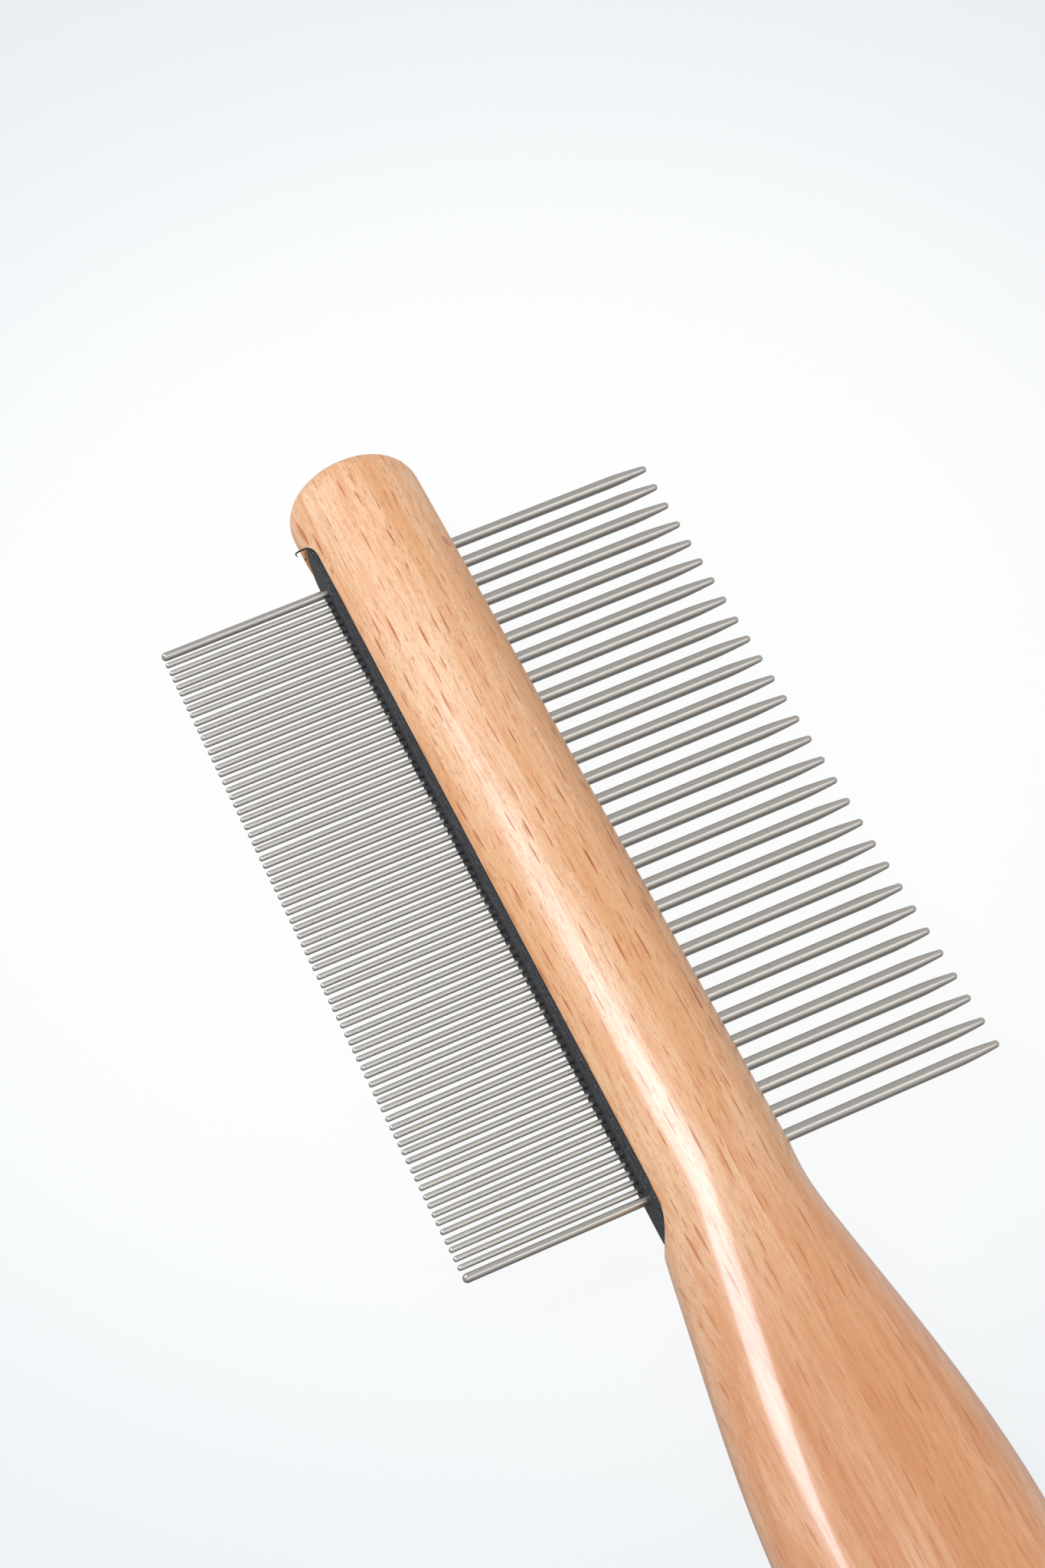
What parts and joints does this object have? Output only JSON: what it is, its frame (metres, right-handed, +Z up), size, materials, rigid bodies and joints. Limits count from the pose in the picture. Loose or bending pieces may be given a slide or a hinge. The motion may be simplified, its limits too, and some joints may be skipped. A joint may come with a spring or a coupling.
{
  "type": "double-sided pet comb",
  "caption": "Double-sided pet comb: one-piece lacquered beech handle, long tapered coarse steel pins on one side, a plastic strip of fine steel pins on the other.",
  "frame": {"origin": "on the axis of the round bar, at mid thickness, level with the first pin of each row (the pin nearest the head)", "axes": "+X across the comb towards the tips of the coarse pins, +Y along the handle towards the rounded head, +Z up out of the plane of the pins"},
  "size_m": [0.0636, 0.2046, 0.0162],
  "materials": {
    "beech": "clear gloss lacquer over beech",
    "strip_plastic": "fine-grained satin black plastic",
    "pin_steel": "drawn stainless steel, satin",
    "fine_steel": "drawn stainless steel, polished"
  },
  "bodies": {
    "root": {"handle": "beech", "fine_strip": "strip_plastic", "guard_pin_tip": "pin_steel", "guard_pin_neck": "pin_steel", "coarse_pin_01": "pin_steel", "coarse_pin_02": "pin_steel", "coarse_pin_03": "pin_steel", "coarse_pin_04": "pin_steel", "coarse_pin_05": "pin_steel", "coarse_pin_06": "pin_steel", "coarse_pin_07": "pin_steel", "coarse_pin_08": "pin_steel", "coarse_pin_09": "pin_steel", "coarse_pin_10": "pin_steel", "coarse_pin_11": "pin_steel", "coarse_pin_12": "pin_steel", "coarse_pin_13": "pin_steel", "coarse_pin_14": "pin_steel", "coarse_pin_15": "pin_steel", "coarse_pin_16": "pin_steel", "coarse_pin_17": "pin_steel", "coarse_pin_18": "pin_steel", "coarse_pin_19": "pin_steel", "coarse_pin_20": "pin_steel", "coarse_pin_21": "pin_steel", "coarse_pin_22": "pin_steel", "coarse_pin_23": "pin_steel", "coarse_pin_24": "pin_steel", "coarse_pin_25": "pin_steel", "coarse_pin_26": "pin_steel", "coarse_pin_27": "pin_steel", "coarse_pin_28": "pin_steel", "coarse_pin_29": "pin_steel", "fine_pins_01": "fine_steel", "fine_pins_02": "fine_steel", "fine_pins_03": "fine_steel", "fine_pins_04": "fine_steel", "fine_pins_05": "fine_steel", "fine_pins_06": "fine_steel", "fine_pins_07": "fine_steel", "fine_pins_08": "fine_steel", "fine_pins_09": "fine_steel", "fine_pins_10": "fine_steel", "fine_pins_11": "fine_steel", "fine_pins_12": "fine_steel", "fine_pins_13": "fine_steel", "fine_pins_14": "fine_steel", "fine_pins_15": "fine_steel", "fine_pins_16": "fine_steel", "fine_pins_17": "fine_steel", "fine_pins_18": "fine_steel", "fine_pins_19": "fine_steel"}
  },
  "joints": []
}
